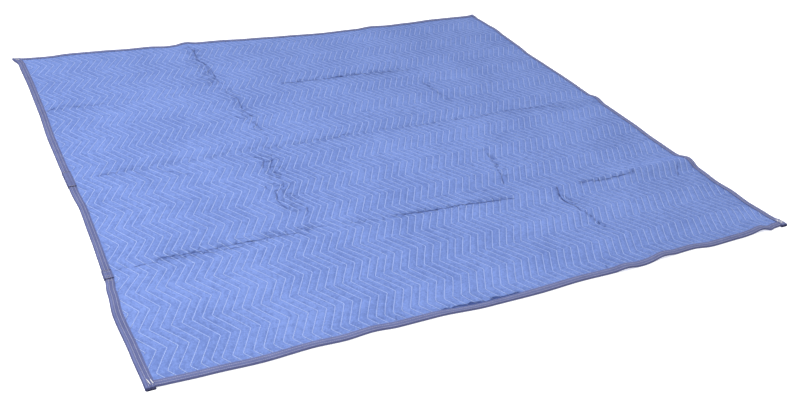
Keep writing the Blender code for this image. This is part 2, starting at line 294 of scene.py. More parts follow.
# Sharp folds in the creases, where the cloth is doubled under itself: each is a shallow groove, and its
# shade is painted as a thin dark line
# Columns: from x, from y, to x, to y, sideways bow, strength, half width
FOLDS = [
    (-0.88, -0.455, -0.68, -0.463, -0.003, 0.70, 0.0028),
    (-0.70, -0.461, -0.45, -0.466, 0.001, 0.65, 0.0026),
    (-0.83, -0.472, -0.56, -0.479, -0.003, 0.55, 0.0028),
    (-0.47, -0.452, -0.36, -0.462, 0.004, 0.45, 0.0028),
    (-0.985, -0.475, -0.945, -0.470, 0.000, 0.45, 0.0028),
    (-0.930, -0.474, -0.895, -0.470, 0.001, 0.75, 0.0028),
    (-0.890, -0.476, -0.865, -0.472, 0.001, 0.60, 0.0026),
    (-0.15, -0.475, 0.08, -0.489, -0.002, 0.90, 0.0030),
    (0.06, -0.488, 0.26, -0.508, 0.001, 1.00, 0.0030),
    (-0.01, -0.424, 0.27, -0.452, 0.004, 0.30, 0.0030),
    (0.332, -0.225, 0.303, -0.350, 0.003, 0.55, 0.0028),
    (0.303, -0.345, 0.268, -0.430, 0.004, 0.75, 0.0028),
    (0.436, -0.490, 0.399, -0.575, -0.006, 1.00, 0.0028),
    (0.400, -0.560, 0.430, -0.665, 0.000, 1.00, 0.0028),
    (0.430, -0.655, 0.428, -0.725, 0.000, 0.75, 0.0028),
    (0.52, -0.488, 0.61, -0.506, -0.002, 0.65, 0.0030),
    (0.60, -0.505, 0.75, -0.503, 0.000, 0.65, 0.0030),
    (0.945, -0.500, 0.885, -0.572, 0.003, 0.60, 0.0030),
    (-0.93, -0.002, -0.81, 0.006, 0.002, 0.55, 0.0032),
    (-0.812, 0.006, -0.775, -0.085, 0.004, 0.45, 0.0030),
    (-0.745, -0.004, -0.645, -0.074, -0.008, 0.45, 0.0030),
    (-0.18, 0.003, -0.05, 0.026, 0.003, 0.45, 0.0030),
    (0.05, 0.026, 0.10, 0.018, 0.000, 0.50, 0.0030),
    (0.22, -0.004, 0.29, -0.016, 0.002, 0.50, 0.0030),
    (0.56, 0.023, 0.79, 0.006, 0.003, 0.65, 0.0032),
    (0.78, 0.008, 0.825, -0.026, 0.002, 0.55, 0.0030),
    (-0.440, -0.020, -0.402, -0.055, 0.002, 0.75, 0.0030),
    (-0.402, -0.050, -0.425, -0.105, -0.003, 0.75, 0.0030),
    (-0.374, -0.035, -0.412, -0.122, 0.004, 0.65, 0.0030),
    (-0.412, -0.115, -0.400, -0.140, 0.000, 0.60, 0.0030),
    (-0.396, -0.180, -0.412, -0.235, 0.002, 0.60, 0.0030),
    (-0.440, -0.225, -0.457, -0.300, 0.003, 0.80, 0.0032),
    (-0.457, -0.290, -0.440, -0.355, -0.003, 0.80, 0.0032),
    (-0.384, -0.350, -0.415, -0.410, 0.003, 0.65, 0.0030),
    (-0.460, -0.205, -0.463, -0.240, 0.000, 0.60, 0.0030),
    (-0.405, -0.266, -0.362, -0.284, 0.002, 0.55, 0.0030),
    (-0.13, 0.463, 0.05, 0.459, -0.003, 0.75, 0.0034),
    (0.03, 0.459, 0.27, 0.458, 0.003, 1.00, 0.0036),
    (0.27, 0.457, 0.45, 0.444, -0.002, 0.55, 0.0034),
    (0.403, 0.330, 0.405, 0.255, 0.002, 0.60, 0.0032),
    (0.406, 0.255, 0.430, 0.165, 0.003, 0.60, 0.0032),
    (-0.990, 0.458, -0.955, 0.480, 0.000, 0.60, 0.0034),
    (-0.945, 0.486, -0.870, 0.460, 0.004, 0.55, 0.0034),
    (-0.850, 0.476, -0.800, 0.440, 0.003, 0.40, 0.0034),
    (-0.376, 0.875, -0.367, 0.775, 0.004, 0.75, 0.0032),
    (-0.355, 0.845, -0.378, 0.720, -0.004, 0.75, 0.0032),
    (-0.378, 0.740, -0.352, 0.640, 0.004, 0.85, 0.0032),
    (-0.398, 0.700, -0.368, 0.600, 0.003, 0.75, 0.0032),
    (-0.350, 0.640, -0.360, 0.545, -0.004, 0.70, 0.0032),
    (-0.378, 0.590, -0.350, 0.500, 0.003, 0.60, 0.0032),
    (-0.340, 0.400, -0.352, 0.300, 0.004, 0.65, 0.0034),
    (-0.352, 0.310, -0.335, 0.235, -0.003, 0.75, 0.0034),
    (-0.358, 0.220, -0.340, 0.130, 0.003, 0.60, 0.0034),
    (-0.395, 0.260, -0.372, 0.215, 0.000, 0.45, 0.0034),
    # Painted shadow along the front, in the gap under the cloth where it bulges over the tape
    (-0.250, -0.8970, -0.005, -0.8966, 0.000, 2.00, 0.0056),
    (-0.380, -0.898, -0.374, -0.876, 0.000, 0.50, 0.0030),
    (0.295, -0.898, 0.300, -0.878, 0.000, 0.50, 0.0030),
]

# How far the quilting has crept towards the back, at the left side, in the middle and at the right side
# Columns: place along Y, creep at the left, in the middle, at the right
CREEP = [
    (-0.90, 0.004, 0.022, 0.022),
    (-0.65, 0.004, 0.018, 0.023),
    (-0.36, -0.005, 0.012, 0.023),
    (-0.20, -0.006, 0.014, 0.025),
    (0.08, -0.014, 0.007, 0.021),
    (0.23, -0.010, 0.012, 0.024),
    (0.38, -0.003, 0.009, 0.025),
    (0.68, -0.001, 0.010, 0.026),
    (0.90, 0.006, 0.020, 0.022),
]
CREEP_COLUMNS = [-0.85, 0.10, 0.75]

# How far it has drifted to the right, left of the long left crease, between the long creases, right of both
# Columns: place along Y, drift at the left, in the middle, at the right
DRIFT = [
    (-0.85, 0.000, -0.004, -0.002),
    (-0.60, 0.002, -0.001, -0.003),
    (-0.50, 0.005, 0.000, -0.005),
    (-0.40, 0.010, 0.002, -0.001),
    (-0.20, 0.013, 0.005, 0.004),
    (-0.03, 0.012, 0.006, 0.005),
    (0.08, 0.010, 0.010, 0.010),
    (0.38, 0.013, 0.010, 0.010),
    (0.52, 0.012, 0.013, 0.014),
    (0.85, 0.011, 0.016, 0.017),
]
DRIFT_COLUMNS = [-0.44, -0.32, 0.32, 0.46]
EDGE_ROWS = 0.045


def smooth(share):
    """Ease a share from 0 to 1, level at both ends: 3 s^2 - 2 s^3."""
    share = np.clip(share, 0.0, 1.0)
    return share * share * (3.0 - 2.0 * share)


def read_rows(rows, at, column=1):
    """Read a column of a table at any place, easing from each row to the next."""
    place = np.array([row[0] for row in rows])
    value = np.array([row[column] for row in rows])
    at = np.clip(at, place[0], place[-1])
    i = np.clip(np.searchsorted(place, at, side="right") - 1, 0, len(place) - 2)
    return value[i] + (value[i + 1] - value[i]) * smooth((at - place[i]) / (place[i + 1] - place[i]))


def mottle(x, y, size, seed):
    """Smooth uneven values from -1 to 1: seeded numbers at the corners of squares, eased between corners."""
    numbers = np.random.default_rng(seed).uniform(-1.0, 1.0, (64, 64))
    u, v = x / size, y / size
    i, j = np.floor(u).astype(int), np.floor(v).astype(int)
    s, t = smooth(u - i), smooth(v - j)
    near_side = numbers[i % 64, j % 64] * (1.0 - s) + numbers[(i + 1) % 64, j % 64] * s
    far_side = numbers[i % 64, (j + 1) % 64] * (1.0 - s) + numbers[(i + 1) % 64, (j + 1) % 64] * s
    return near_side * (1.0 - t) + far_side * t


def beside(x, y, x0, y0, x1, y1, bow):
    """Place of a point by a bowed line: the share of the way along it, and the distance to its left."""
    run = np.hypot(x1 - x0, y1 - y0)
    ux, uy = (x1 - x0) / run, (y1 - y0) / run
    along = ((x - x0) * ux + (y - y0) * uy) / run
    aside = (y - y0) * ux - (x - x0) * uy - bow * 4.0 * along * (1.0 - along)
    return along, aside


def lie(x, y, z):
    """Where a point of the flat blanket lies: the edges' waves fade inwards, and the ridges lift it."""
    def fading(distance):
        return np.clip(1.0 - distance / WAVE_REACH, 0.0, 1.0) ** 2

    move_x = read_rows(RIGHT_OUT, y) * fading(HALF_X - x) - read_rows(LEFT_OUT, y) * fading(HALF_X + x)
    move_y = read_rows(BACK_OUT, x) * fading(HALF_Y - y) - read_rows(FRONT_OUT, x) * fading(HALF_Y + y)
    lift = np.zeros(np.broadcast(x, y).shape)
    for x0, y0, x1, y1, bow, height, half_width in RIDGES:
        along, aside = beside(x, y, x0, y0, x1, y1, bow)
        ends = smooth(along / RIDGE_END) * smooth((1.0 - along) / RIDGE_END)
        lift += height * ends * np.clip(1.0 - (aside / half_width) ** 2, 0.0, 1.0) ** 2
    return np.stack(np.broadcast_arrays(x + move_x + TO_MIDDLE_X, y + move_y + TO_MIDDLE_Y, z + lift), -1)


def stitch_line(line, row):
    """Place on the flat blanket of a numbered stitch line at a row: a rounded zigzag that drifts and creeps.

    The rows creep with the quilting, but they stay straight close to the front and back edges.
    """
    level_x = LINE_AT + PITCH * line
    drifts = [read_rows(DRIFT, row, column) for column in (1, 2, 3)]
    to_middle = smooth((level_x - DRIFT_COLUMNS[0]) / (DRIFT_COLUMNS[1] - DRIFT_COLUMNS[0]))
    to_right = smooth((level_x - DRIFT_COLUMNS[2]) / (DRIFT_COLUMNS[3] - DRIFT_COLUMNS[2]))
    drift = drifts[0] + (drifts[1] - drifts[0]) * to_middle + (drifts[2] - drifts[1]) * to_right
    creeps = [read_rows(CREEP, row, column) for column in (1, 2, 3)]
    at = np.clip(level_x, CREEP_COLUMNS[0], CREEP_COLUMNS[2])
    first_half = np.clip((at - CREEP_COLUMNS[0]) / (CREEP_COLUMNS[1] - CREEP_COLUMNS[0]), 0.0, 1.0)
    second_half = np.clip((at - CREEP_COLUMNS[1]) / (CREEP_COLUMNS[2] - CREEP_COLUMNS[1]), 0.0, 1.0)
    creep = creeps[0] + (creeps[1] - creeps[0]) * first_half + (creeps[2] - creeps[1]) * second_half
    free = smooth((HALF_Y - SEAM_IN - abs(row)) / EDGE_ROWS)
    share = ((row - creep * (1.0 - free) - LEFT_TIP) / ZIGZAG) % 1.0
    from_left = np.minimum(share, 1.0 - share)
    from_tip = np.minimum(from_left, 0.5 - from_left)
    eased = np.where(from_tip < TIP_ROUND, from_tip ** 2 / (2.0 * TIP_ROUND) + TIP_ROUND / 2.0, from_tip)
    swing = SWING * np.where(from_left < 0.25, 4.0 * eased - 1.0, 1.0 - 4.0 * eased)
    x = np.clip(level_x + swing + drift, PANEL_IN - HALF_X, HALF_X - PANEL_IN)
    return x, row + creep * free


def off_tape(x, y):
    """Distance in from the inner edge of the nearest length of tape."""
    from_sides = np.minimum(HALF_X + x - read_rows(LEFT_LEG, y), HALF_X - x - read_rows(RIGHT_LEG, y))
    from_ends = np.minimum(HALF_Y + y - read_rows(FRONT_LEG, x), HALF_Y - y - read_rows(BACK_LEG, x))
    return np.minimum(from_sides, from_ends)


def over_tape(distance):
    """Share of one tape layer's rise at a distance in from an edge: all on the tape, none past the ramp."""
    return smooth((RAMP_IN - distance) / (RAMP_IN - SEAM_IN))


def lower_face(x, y):
    """Height of the lower cloth: on the tape at the edges, on the floor elsewhere."""
    return LAYER * (over_tape(HALF_X - abs(x)) + over_tape(HALF_Y - abs(y)))


def crumple(x, y):
    """How creased a place is: the crush of its puffs, and the strength of the puckers round the creases."""
    crush = np.zeros(np.broadcast(x, y).shape)
    puckers = np.zeros(crush.shape)
    for number, (x0, y0, x1, y1, bow, depth, half_width, reach) in enumerate(CREASES):
        along, aside = beside(x, y, x0, y0, x1, y1, bow)
        aside = aside + CREASE_WANDER * mottle(x, y, 0.05, 40 + number)
        ends = smooth(along / CREASE_END) * smooth((1.0 - along) / CREASE_END)
        uneven = 0.75 + 0.5 * mottle(x, y, 0.06, 60 + number)
        crush += depth * ends * uneven * np.exp(-(aside / half_width) ** 2)
        crush -= 0.22 * depth * ends * np.exp(-((abs(aside) - 2.6 * half_width) / (1.3 * half_width)) ** 2)
        puckers = np.maximum(puckers, depth * ends * np.exp(-(aside / reach) ** 2))
    return crush, puckers


def fold_at(x, y):
    """The strongest sharp fold by a place: the distance aside from it in half widths, and its strength."""
    nearest = np.full(np.broadcast(x, y).shape, FAR_OFF)
    strongest = np.zeros(nearest.shape)
    for x0, y0, x1, y1, bow, strength, half_width in FOLDS:
        along, aside = beside(x, y, x0, y0, x1, y1, bow)
        ends = smooth(along / FOLD_END + FOLD_BLUNT) * smooth((1.0 - along) / FOLD_END + FOLD_BLUNT)
        here = strength * ends * np.exp(-(aside / FOLD_REACH) ** 4)
        stronger = here > strongest
        nearest = np.where(stronger, aside / half_width, nearest)
        strongest = np.where(stronger, here, strongest)
    return nearest, strongest


def wander(x, y):
    """Uneven shifts of the quilting: a millimetre or so anywhere, and several beside the creases."""
    free = smooth(off_tape(x, y) / 0.03)
    puckers = crumple(x, y)[1]
    shift_x = 0.0011 * mottle(x, y, 0.055, 21) + 0.0050 * puckers * mottle(x, y, 0.028, 22)
    shift_y = 0.0016 * mottle(x, y, 0.055, 23) + 0.0045 * puckers * mottle(x, y, 0.028, 24)
    return x + shift_x * free, y + shift_y * free


def upper_face(x, y, across):
    """Height of the upper cloth: an arch between stitch lines, crushed along creases, pressed at the tape.

    across is the share of the way from one stitch line to the next. The arch there is
    (1 - cos(2 pi across)) / 2, made fuller by a power of 0.8.
    """
    arch = (0.5 - 0.5 * np.cos(2.0 * np.pi * across)) ** 0.8
    crush, puckers = crumple(x, y)
    plump = 1.0 + 0.16 * mottle(x, y, 0.045, 1) + 0.10 * mottle(x, y, 0.017, 2)
    wrinkles = np.clip(1.0 - abs(mottle(x, y, 0.019, 3)) / 0.35, 0.0, 1.0)
    puffed = STITCHED + PUFF * arch * np.clip(plump - crush, 0.0, 1.5)
    puffed -= CRUSH_DEPTH * np.clip(crush, 0.0, 1.0)
    puffed += LUMP * mottle(x, y, 0.011, 4)
    puffed -= PUCKER_DEPTH * np.clip(puckers, 0.0, 1.0) * wrinkles * (0.3 + 0.7 * arch)
    nearest, folded = fold_at(x, y)
    puffed -= FOLD_DEPTH * np.minimum(folded, 1.0) * np.exp(-(nearest / FOLD_SPREAD) ** 2)
    swollen = smooth(off_tape(x, y) / SWELL_RUN)
    pressed = lower_face(x, y) + PRESSED
    return pressed + (np.maximum(puffed, THINNEST) - pressed) * swollen


def grid_faces(columns, rows, first=0, turned=False):
    """Corner numbers of the faces of a grid whose points are numbered column by column."""
    corner = first + np.arange(columns * rows).reshape(columns, rows)
    faces = np.stack((corner[:-1, :-1], corner[1:, :-1], corner[1:, 1:], corner[:-1, 1:]), -1).reshape(-1, 4)
    return faces[:, ::-1] if turned else faces


def piece_of_mesh(name, points, faces, **values):
    """An object made of points and faces, smooth-shaded, with a named value at each point."""
    mesh = bpy.data.meshes.new(name)
    mesh.from_pydata(points.reshape(-1, 3).tolist(), [], faces)
    for label, value in values.items():
        layer = mesh.attributes.new(label, "FLOAT", "POINT")
        layer.data.foreach_set("value", np.ravel(value).astype(np.float32))
    mesh.shade_smooth()
    made = bpy.data.objects.new(name, mesh)
    bpy.context.scene.collection.objects.link(made)
    return made


def close_up(piece):
    """Merge a piece's coinciding points, bridge its two open rims and turn its faces outwards."""
    bm = bmesh.new()
    bm.from_mesh(piece.data)
    bmesh.ops.remove_doubles(bm, verts=bm.verts[:], dist=1e-6)
    bmesh.ops.dissolve_degenerate(bm, dist=1e-7, edges=bm.edges[:])
    rims = [e for e in bm.edges if e.is_boundary]
    if rims:
        bmesh.ops.bridge_loops(bm, edges=rims)
    bmesh.ops.recalc_face_normals(bm, faces=bm.faces[:])
    for face in bm.faces:
        face.smooth = True
    bm.to_mesh(piece.data)
    bm.free()


# Lines and rows of the upper face's grid, closer together beside the creases
PLAIN_STEPS = [0.0, 0.16, 0.36, 0.64, 0.84]
FINE_STEPS = [0.0, 0.12, 0.25, 0.42, 0.58, 0.75, 0.88]
FINE_PITCHES = [*range(19, 25), 48, 49, 52, 53]
TIP_STEPS = [0.0, 0.02, 0.12, 0.25, 0.38, 0.48]
HALF_ZIGZAGS = 26
FINE_ROWS = [-0.503, -0.463, 0.006, 0.466]
FINE_GAP = 0.0042
ROW_GAP = 0.0028
FRONT_ROWS = [PANEL_IN, 0.014, 0.0197, 0.0225, 0.026, 0.030, 0.035, 0.040]
BACK_ROWS = [PANEL_IN, 0.020, 0.0253, 0.0285, 0.032, 0.036, 0.041, 0.046]
EDGE_GAP, EDGE_COUNT = 0.0040, 13

reach = int((HALF_X + SWING) / PITCH) + 3
middle = round(-LINE_AT / PITCH)
lines = []
for k in range(middle - reach, middle + reach):
    lines += [k + s for s in (FINE_STEPS if k in FINE_PITCHES else PLAIN_STEPS)]
tips = [LEFT_TIP + ZIGZAG * (k / 2 + s) for k in range(-1, HALF_ZIGZAGS) for s in TIP_STEPS]
fine = [row + FINE_GAP * k for row in FINE_ROWS for k in range(-3, 4)]
wanted = sorted([*tips, *fine])
further = EDGE_GAP * np.arange(1, EDGE_COUNT + 1)
front_rows = [-HALF_Y + d for d in [*FRONT_ROWS, *(FRONT_ROWS[-1] + further)]]
back_rows = [HALF_Y - d for d in [*BACK_ROWS, *(BACK_ROWS[-1] + further)][::-1]]
rows = [row for row in wanted if front_rows[-1] + ROW_GAP < row < back_rows[0] - ROW_GAP]
rows = [row for row, before in zip(rows, [-1.0, *rows]) if row - before > ROW_GAP]
rows = np.array(front_rows + rows + back_rows)
lines = np.array(lines)

line, row = np.meshgrid(lines, rows, indexing="ij")
flat_x, flat_y = wander(*stitch_line(line, row))
across = line % 1.0
top_points = lie(flat_x, flat_y, upper_face(flat_x, flat_y, across))
top_crush, top_puckers = crumple(flat_x, flat_y)
top_aside, top_folded = fold_at(flat_x, flat_y)

under_lines = np.arange(middle - reach, middle + reach, 0.5)
under_rows = np.array([*rows[:3], *rows[7:-7:3], *rows[-3:]])
under_line, under_row = np.meshgrid(under_lines, under_rows, indexing="ij")
under_x, under_y = stitch_line(under_line, under_row)
under_across = under_line % 1.0
drawn_up = DIMPLE * (1.0 - 2.0 * under_across) ** 2 * smooth((off_tape(under_x, under_y) - 0.012) / 0.01)
under_points = lie(under_x, under_y, lower_face(under_x, under_y) + drawn_up)

panel_faces = np.concatenate((
    grid_faces(*line.shape),
    grid_faces(*under_line.shape, first=line.size, turned=True),
))
off_line = [np.minimum(share, 1.0 - share).ravel() for share in (across, under_across)]
none_under = np.zeros(under_line.size)
panel = piece_of_mesh(
    "quilted_cloth",
    np.concatenate((top_points.reshape(-1, 3), under_points.reshape(-1, 3))),
    panel_faces.tolist(),
    off_line=PITCH * np.concatenate(off_line),
    creased=np.concatenate((np.clip(top_crush, 0.0, 1.0).ravel(), none_under)),
    puckered=np.concatenate((np.clip(top_puckers, 0.0, 1.0).ravel(), none_under)),
    fold_aside=np.concatenate((top_aside.ravel(), none_under + FAR_OFF)),
    folded=np.concatenate((top_folded.ravel(), none_under)),
    beneath=np.concatenate((np.zeros(line.size), none_under + 1.0)),
)
close_up(panel)


class Wire:
    """One output of a material's nodes. Sums, products and the like of wires add Math nodes."""

    def __init__(self, tree, socket=None):
        self.tree = tree
        self.socket = socket

    def node(self, kind, settings=None, values=None, out=0):
        """Add a node with its settings and its sockets' values or links, and give one of its outputs."""
        made = self.tree.nodes.new("ShaderNode" + kind)
        for name, value in (settings or {}).items():
            setattr(made, name, value)
        for name, value in (values or {}).items():
            if isinstance(value, Wire):
                self.tree.links.new(value.socket, made.inputs[name])
            else:
                made.inputs[name].default_value = value
        return Wire(self.tree, made.outputs[out])

    def math(self, operation, first, second=0.0):
        """A Math node of an operation on one or two values or wires."""
        return self.node("Math", {"operation": operation}, {0: first, 1: second})

    def value(self, name):
        """A named value at each point of a piece."""
        return self.node("Attribute", {"attribute_name": name}, out="Fac")

    def __add__(self, other):
        return self.math("ADD", self, other)

    def __radd__(self, other):
        return self.math("ADD", other, self)

    def __sub__(self, other):
        return self.math("SUBTRACT", self, other)

    def __rsub__(self, other):
        return self.math("SUBTRACT", other, self)

    def __mul__(self, other):
        return self.math("MULTIPLY", self, other)

    def __abs__(self):
        return self.math("ABSOLUTE", self)

    def step(self, low, high):
        """Ease from 0 at one value to 1 at another."""
        ends = {"Value": self, "From Min": low, "From Max": high}
        return self.node("MapRange", {"interpolation_type": "SMOOTHSTEP"}, ends)

    def sine(self):
        """The sine of a wire in radians."""
        return self.math("SINE", self)

    def blend(self, low, high):
        """A colour between two, where this wire is the share of the second."""
        return self.node("Mix", {"data_type": "RGBA"}, {0: self, 6: low, 7: high}, out=2)

    def noise(self, place, scale, detail=2.0, roughness=0.5):
        """Noise from 0 to 1 at a place, with so many lumps per metre."""
        values = {"Vector": place, "Scale": scale, "Detail": detail, "Roughness": roughness}
        return self.node("TexNoise", None, values)


def new_finish(name):
    """A material with only a Principled shader, as the wire to build on and the shader itself."""
    material = bpy.data.materials.new(name)
    material.use_nodes = True
    return material, Wire(material.node_tree), material.node_tree.nodes["Principled BSDF"]


def wear(piece, material, shader, colour, roughness, height=None, depth=0.001):
    """Join the colour, roughness and raised detail to the shader, and put the material on the piece."""
    tree = material.node_tree
    tree.links.new(colour.socket, shader.inputs["Base Color"])
    if isinstance(roughness, Wire):
        tree.links.new(roughness.socket, shader.inputs["Roughness"])
    else:
        shader.inputs["Roughness"].default_value = roughness
    if height is not None:
        raised = height.node("Bump", None, {"Strength": 1.0, "Distance": depth, "Height": height})
        tree.links.new(raised.socket, shader.inputs["Normal"])
    piece.data.materials.append(material)


CLOTH_BLUE = (0.131, 0.200, 0.493, 1.0)
CLOTH_PALE = (0.206, 0.299, 0.668, 1.0)
# Colour of the painted shade in the stitch valleys, creases and crinkles, and on the thread in the folds
CLOTH_SHADE = (0.045, 0.075, 0.24, 1.0)
# Colour of the painted shade in the sharp folds
FOLD_SHADE = (0.022, 0.040, 0.17, 1.0)
THREAD_WHITE = (0.66, 0.74, 0.88, 1.0)
WEAVE = 2.0 * np.pi / 0.0016

cloth, wire, shader = new_finish("blue_cover_cloth")
place = wire.node("TexCoord", out="Object")
split = wire.node("SeparateXYZ", None, {0: place})
place_x, place_y = split, Wire(wire.tree, split.socket.node.outputs[1])
off_line = wire.value("off_line")
creased = wire.value("creased")
puckered = wire.value("puckered")
beneath = wire.value("beneath")
patches = wire.noise(place, 4.0, 3.0)
lumps = wire.noise(place, 70.0, 3.0, 0.6)
grain = wire.noise(place, 170.0, 4.0, 0.7)
fibres = wire.noise(place, 420.0, 2.0, 0.6)
weave = (place_x * WEAVE).sine() * (place_y * WEAVE).sine()
tone = (patches - 0.5) * 0.9 + (lumps - 0.5) * 1.3 + (grain - 0.5) * 2.2 + (fibres - 0.5) * 0.8 + 0.5
base = tone.step(0.0, 1.0).blend(CLOTH_BLUE, CLOTH_PALE)
sunk = 1.0 - off_line.step(0.0004, 0.0030)
crease_shade = creased.step(0.15, 0.80)
fold_aside = wire.value("fold_aside")
folded = wire.value("folded")
wobble = (wire.noise(place, 28.0, 2.0) - 0.5) * 4.0
broken = wire.noise(place, 55.0, 2.0).step(0.32, 0.55)
fold_lines = (1.0 - abs(fold_aside + wobble).step(0.25, 1.0)) * folded * (0.45 + broken * 0.55)
fold_lines = wire.math("MINIMUM", fold_lines, 1.0)
crinkles = wire.noise(place, 30.0, 3.0, 0.55)
crinkle_lines = (1.0 - abs(crinkles - 0.5).step(0.0, 0.06)) * puckered.step(0.15, 0.85)
# Painted shade: darker in the stitch valleys, along the crushed creases and in the valleys of the crinkles
base = (sunk * 0.2 + crease_shade * 0.22 + crinkle_lines * 0.4).blend(base, CLOTH_SHADE)
# Painted shade in the sharp folds: a thin dark line along each, broken in places
base = (fold_lines * 0.80).blend(base, FOLD_SHADE)
sewn_under = beneath * (1.0 - off_line.step(0.0004, 0.0008))
base = sewn_under.blend(base, THREAD_WHITE)
dragged = wire.noise(place, 9.0, 2.0).step(0.42, 0.68)
drag_lines = (off_line * (2.0 * np.pi / 0.0085) + lumps * 5.0).sine() * dragged
relief = lumps * 0.5 + grain * 0.45 + fibres * 0.2 + weave * 0.03 + drag_lines * 0.16
relief = relief - crinkle_lines - fold_lines
shader.inputs["Specular IOR Level"].default_value = 0.1
wear(panel, cloth, shader, base, 0.85 + (fibres - 0.5) * 0.15, relief, 0.0016)

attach(panel, "root")
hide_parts("quilted_panel")


# Quilting thread
# White thread that runs along every zigzag, from under one length of tape to under the other.
# It lies at the bottom of the valleys between the puffs and dips where each stitch goes into the cloth.
# In the sharp folds it is painted dark as shade.
STITCH_RUN = 0.0068
THREAD_WIDE = 0.0027
THREAD_HIGH = 0.0013
SEWN_TO = -0.002
THREAD_DULL = (0.29, 0.39, 0.72, 1.0)
THREAD_BRIGHT = (0.47, 0.58, 0.89, 1.0)


def joined(parts):
    """One list of points and one of faces from many, each part's faces numbered from its own first point."""
    firsts = np.cumsum([0, *(len(points) for points, _ in parts)])
    points = np.concatenate([points for points, _ in parts])
    return points, [face for first, (_, faces) in zip(firsts, parts) for face in (faces + first).tolist()]


def cord(path, width, height):
    """A thread along a path: at each place a ring of four points, left, over, right, under, and two caps."""
    along = np.gradient(path, axis=0)
    aside = np.cross(along, (0.0, 0.0, 1.0))
    aside /= np.linalg.norm(aside, axis=1, keepdims=True)
    raised = np.array((0.0, 0.0, height / 2))
    ring = np.stack((path - aside * width / 2, path + raised, path + aside * width / 2, path - raised), 1)
    corner = 4 * np.arange(len(path) - 1)[:, None] + np.arange(4)
    after = 4 * np.arange(len(path) - 1)[:, None] + np.roll(np.arange(4), -1)
    belt = np.stack((corner, after, after + 4, corner + 4), -1).reshape(-1, 4)
    caps = [(3, 2, 1, 0), np.arange(4) + 4 * len(path) - 4]
    return ring.reshape(-1, 3), np.concatenate((belt, caps))


threads, sewn_along, sunk_away = [], [], []
valleys = np.flatnonzero(lines % 1.0 == 0.0)
clear_of_tape = off_tape(flat_x, flat_y) > SEWN_TO
fold_shade_on_thread = np.minimum(top_folded, 1.0) * np.exp(-(top_aside / FOLD_SPREAD) ** 2)
for valley in valleys:
    path = top_points[valley] + (0.0, 0.0, THREAD_HIGH * 0.25)
    shown = np.flatnonzero(clear_of_tape[valley])
    for run in np.split(shown, np.flatnonzero(np.diff(shown) > 1) + 1):
        if len(run) > 1:
            threads.append(cord(path[run], THREAD_WIDE, THREAD_HIGH))
            lengths = np.linalg.norm(np.diff(path[run], axis=0), axis=1)
            sewn_along.append(np.repeat(np.cumsum([0.0, *lengths]), 4))
            sunk_away.append(np.repeat(fold_shade_on_thread[valley][run], 4))
quilting = piece_of_mesh(
    "quilting_thread",
    *joined(threads),
    sewn_along=np.concatenate(sewn_along),
    sunk_away=np.concatenate(sunk_away),
)

thread, wire, shader = new_finish("white_sewing_thread")
place = wire.node("TexCoord", out="Object")
sewn_along = wire.value("sewn_along")
wisps = wire.noise(place, 900.0, 2.0)
tone = wire.noise(place, 30.0, 2.0)
stitch = (sewn_along * (2.0 * np.pi / STITCH_RUN)).sine().step(-1.1, -0.80)
thread_colour = (tone * 0.6 + wisps * 0.4).blend(THREAD_DULL, THREAD_BRIGHT)
thread_colour = stitch.blend(CLOTH_PALE, thread_colour)
sunk_away = wire.value("sunk_away")
# Painted shade: the thread turns dark where it runs into a sharp fold
thread_colour = (sunk_away.step(0.15, 0.75) * 0.8).blend(thread_colour, CLOTH_SHADE)
wear(quilting, thread, shader, thread_colour, 0.6, stitch + wisps * 0.2, 0.0006)
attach(quilting, "root")


# Binding
# Grey-violet twill tape, folded over the cut edges of the panel and darker along its inner edge. Painted
# shade darkens its rounded fold, its underside, the middle between its rows of stitches, the grooves beside
# them and its ends.
# The side lengths are put on last and run over the ends of the front and back lengths.
TAPE_WIDTH = 0.0254
TAPE = 0.001
CLEAR = 0.0003
TUCK = 0.0042
OVERHANG = 0.0048
TAPE_STEP = 0.0075
END_STEPS = np.array((0.0, 0.0006, 0.0015, 0.0028, 0.0044, 0.0064))
END_RUN = 0.0050
END_ROUND = 0.0032
END_FLAT = 0.62
SHOULDER_RISE = 0.0005
FULL_LEG = 0.0195
BETWEEN_ROWS = 0.0104
ROWS_AT = [0.0147, 0.0060]

# Lower leg and fold of the tape
# Columns: distance in from the fold, share of the height between the legs, rise
FOLD = [
    (0.0254, 0.0, 0.0000),
    (0.0160, 0.0, 0.0000),
    (0.0070, 0.0, 0.0000),
    (0.0026, 0.0, 0.0000),
    (0.0012, 0.07, 0.0000),
    (0.0003, 0.25, 0.0000),
    (0.0000, 0.5, 0.0000),
    (0.0003, 0.75, 0.0000),
    (0.0012, 0.93, 0.0000),
    (0.0026, 1.0, 0.0001),
]
LOWER_POINTS = 6

# Upper leg of the tape, pulled down along the two rows of stitches
# Columns: distance out from its inner edge, rise
UPPER_LEG = [
    (0.0157, 0.0001),
    (0.0147, -0.0002),
    (0.0137, 0.0001),
    (0.0104, 0.0004),
    (0.0070, 0.0001),
    (0.0060, -0.0002),
    (0.0050, 0.0001),
    (0.0025, 0.0003),
    (0.0000, 0.0001),
]
TAPE_GREY = (0.134, 0.160, 0.362, 1.0)
TAPE_LIGHT = (0.230, 0.268, 0.535, 1.0)
# TAPE_DARK colours the painted shade on the tape and its darker inner edge
TAPE_DARK = (0.045, 0.050, 0.145, 1.0)


def across_levels(x):
    """Undersides of the front and back lengths' two legs, which rise by a layer inside the side lengths."""
    low = LAYER * over_tape(HALF_X - abs(x))
    return low, low + LAYER + PRESSED + 2 * CLEAR


def side_levels(y):
    """Undersides of the side lengths' two legs, which swell over the ends of the front and back lengths."""
    return 0.0 * y, LAYER + PRESSED + 2 * CLEAR + 2 * LAYER * over_tape(HALF_Y - abs(y))


